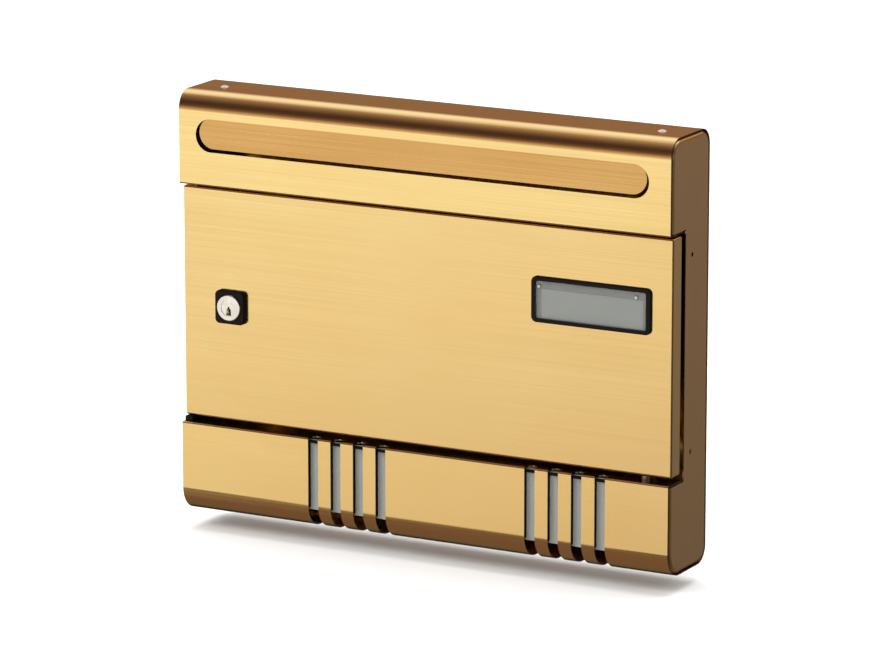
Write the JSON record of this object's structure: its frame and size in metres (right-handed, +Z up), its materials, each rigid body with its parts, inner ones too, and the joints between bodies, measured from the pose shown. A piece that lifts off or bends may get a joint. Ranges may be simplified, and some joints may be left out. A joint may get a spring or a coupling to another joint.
{
  "type": "wall mounted mailbox",
  "caption": "Slim wall-mounted mailbox in folded gold sheet with a hinged letter flap, a lockable pivot door, a name plate and viewing slots.",
  "frame": {"origin": "middle of the four wall holes, on the flat back face", "axes": "+Z up, +X to the right of someone facing the door, +Y towards the wall"},
  "size_m": [0.385, 0.06, 0.3072],
  "materials": {
    "gold_sheet": "gold anodised, brushed along the length",
    "flap_sheet": "darker gold anodised, satin",
    "rivet_metal": "plain satin aluminium",
    "zinc_steel": "zinc plated",
    "bright_nickel": "polished nickel plate",
    "wafer_brass": "stamped brass",
    "black_plastic": "fine satin moulding",
    "black_foam": "matte closed-cell foam",
    "black_rubber": "matte",
    "window_plastic": "clear smoke-tinted sheet",
    "grey_card": "uncoated grey card"
  },
  "bodies": {
    "case": {"body_shell": "gold_sheet", "left_side_cap": "gold_sheet", "right_side_cap": "gold_sheet", "top_rivets": "rivet_metal", "bottom_rivets": "rivet_metal", "lock_strike": "zinc_steel", "strike_rivets": "rivet_metal", "stop_buffers": "black_rubber", "door_glide": "black_plastic", "left_view_gasket": "black_foam", "right_view_gasket": "black_foam", "left_view_window": "window_plastic", "right_view_window": "window_plastic", "window_clips": "zinc_steel", "flap_rod": "zinc_steel", "rod_clips": "zinc_steel", "left_flap_bracket": "zinc_steel", "right_flap_bracket": "zinc_steel", "upper_hinge_pin": "zinc_steel", "lower_hinge_pin": "zinc_steel", "hinge_collar": "zinc_steel"},
    "door": {"door_panel": "gold_sheet", "upper_hinge_bush": "black_plastic", "lower_hinge_bush": "black_plastic", "lock_bezel": "black_plastic", "lock_body": "bright_nickel", "lock_nut": "zinc_steel", "nameplate_frame": "black_plastic", "nameplate_pane": "window_plastic", "name_card": "grey_card", "nameplate_back": "black_plastic", "nameplate_screws": "zinc_steel"},
    "lock": {"lock_plug": "bright_nickel", "lock_wafers": "wafer_brass", "lock_cam": "zinc_steel", "cam_washer": "zinc_steel", "cam_nut": "zinc_steel"},
    "flap": {"flap_face": "flap_sheet", "flap_hinge_strip": "flap_sheet", "flap_weight": "zinc_steel"}
  },
  "joints": [
    {"name": "door_hinge", "type": "hinge", "parent": "case", "child": "door", "pos_m": [0.169, -0.0475, 0.0011], "axis": [0, 0, 1], "range_deg": [0, 110]},
    {"name": "lock_turn", "type": "hinge", "parent": "door", "child": "lock", "pos_m": [-0.153, -0.045, 0.0003], "axis": [0, 1, 0], "range_deg": [0, 90]},
    {"name": "flap_hinge", "type": "hinge", "parent": "case", "child": "flap", "pos_m": [-0.0013, -0.0558, 0.1386], "axis": [1, 0, 0], "range_deg": [0, 78]}
  ]
}
